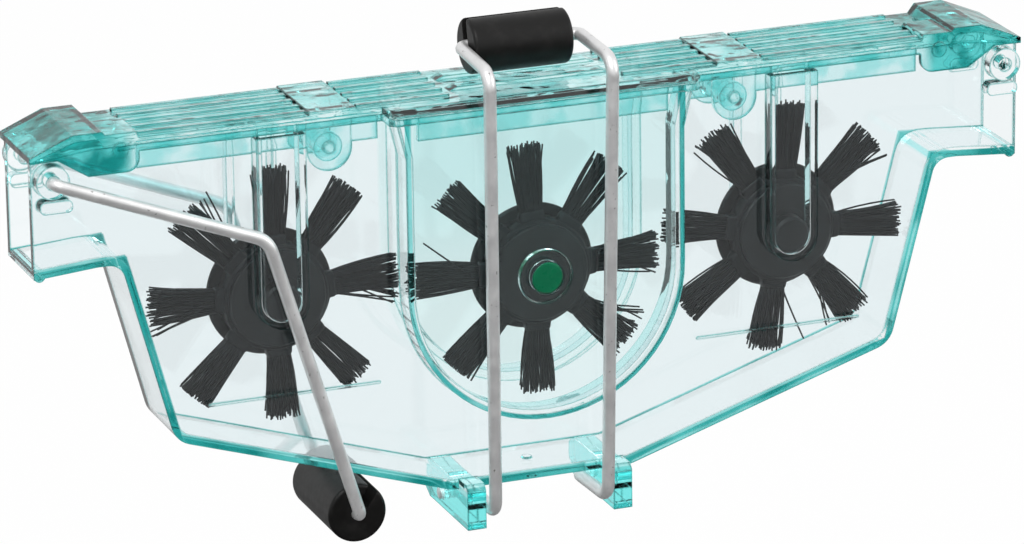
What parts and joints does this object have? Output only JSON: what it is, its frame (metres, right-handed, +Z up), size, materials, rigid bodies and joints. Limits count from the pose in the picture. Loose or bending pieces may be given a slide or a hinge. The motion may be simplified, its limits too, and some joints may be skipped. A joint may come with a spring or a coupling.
{
  "type": "bike chain cleaner",
  "caption": "Clear tub with spinning bristle brushes, a ribbed lid held by a wire clamp with a roller, and a swinging support arm, for scrubbing a bicycle chain.",
  "frame": {"origin": "on the standing plane, below the middle of the object's box", "axes": "+X along the chain towards the end with the empty bosses, -Y to the front with the round-bottomed chamber and the clamp's legs, +Z up"},
  "size_m": [0.241, 0.0377, 0.1174],
  "materials": {
    "clear_aqua_plastic": "clear moulded, glossy",
    "black_plastic": "moulded satin",
    "black_bristle": "nylon strands",
    "green_plastic": "moulded, glossy",
    "galvanised_wire": "galvanised satin",
    "black_rubber": "satin"
  },
  "bodies": {
    "tub": {"tub": "clear_aqua_plastic", "middle_axle": "green_plastic"},
    "lid": {"lid": "clear_aqua_plastic", "left_roller_pin": "clear_aqua_plastic", "right_roller_pin": "clear_aqua_plastic"},
    "left_chain_roller": {"left_chain_roller": "clear_aqua_plastic"},
    "right_chain_roller": {"right_chain_roller": "clear_aqua_plastic"},
    "left_brush": {"left_brush_hub": "black_plastic", "left_brush_cap": "black_plastic", "left_bristles": "black_bristle", "left_axle": "black_plastic"},
    "middle_brush": {"middle_brush_hub": "black_plastic", "middle_brush_cap": "black_plastic", "middle_bristles": "black_bristle"},
    "right_brush": {"right_brush_hub": "black_plastic", "right_brush_cap": "black_plastic", "right_bristles": "black_bristle", "right_axle": "black_plastic"},
    "clamp": {"clamp_wire": "galvanised_wire"},
    "clamp_roller": {"clamp_roller": "black_rubber"},
    "arm": {"support_arm": "galvanised_wire"},
    "arm_roller": {"arm_roller": "black_rubber"}
  },
  "joints": [
    {"name": "clamp_swing", "type": "hinge", "parent": "tub", "child": "clamp", "pos_m": [0, 0.00334, 0.0038], "axis": [1, 0, 0], "range_deg": [0, 150]},
    {"name": "clamp_roller_spin", "type": "hinge", "parent": "clamp", "child": "clamp_roller", "pos_m": [-0.001, 0.00274, 0.1109], "axis": [1, 0, 0], "continuous": true},
    {"name": "lid_lift", "type": "slide", "parent": "tub", "child": "lid", "axis": [0, 0, 1], "range_m": [0, 0.008]},
    {"name": "left_chain_roller_spin", "type": "hinge", "parent": "lid", "child": "left_chain_roller", "pos_m": [-0.04944, 0.00234, 0.0937], "axis": [0, 1, 0], "continuous": true},
    {"name": "right_chain_roller_spin", "type": "hinge", "parent": "lid", "child": "right_chain_roller", "pos_m": [0.04944, 0.00234, 0.0937], "axis": [0, 1, 0], "continuous": true},
    {"name": "left_brush_spin", "type": "hinge", "parent": "tub", "child": "left_brush", "pos_m": [-0.0624, 0.00234, 0.0596], "axis": [0, 1, 0], "continuous": true},
    {"name": "middle_brush_spin", "type": "hinge", "parent": "tub", "child": "middle_brush", "pos_m": [0, 0.00234, 0.0586], "axis": [0, 1, 0], "continuous": true},
    {"name": "right_brush_spin", "type": "hinge", "parent": "tub", "child": "right_brush", "pos_m": [0.0624, 0.00234, 0.0596], "axis": [0, 1, 0], "continuous": true},
    {"name": "arm_swing", "type": "hinge", "parent": "tub", "child": "arm", "pos_m": [-0.1157, 0.00234, 0.095], "axis": [0, 1, 0], "range_deg": [0, 135]},
    {"name": "arm_roller_spin", "type": "hinge", "parent": "arm", "child": "arm_roller", "pos_m": [-0.04615, 0.00234, 0.00705], "axis": [0, 1, 0], "continuous": true}
  ],
  "couplings": [
    {"joint": "lid_lift", "follows": "clamp_swing", "m_per_rad": 0.003}
  ]
}
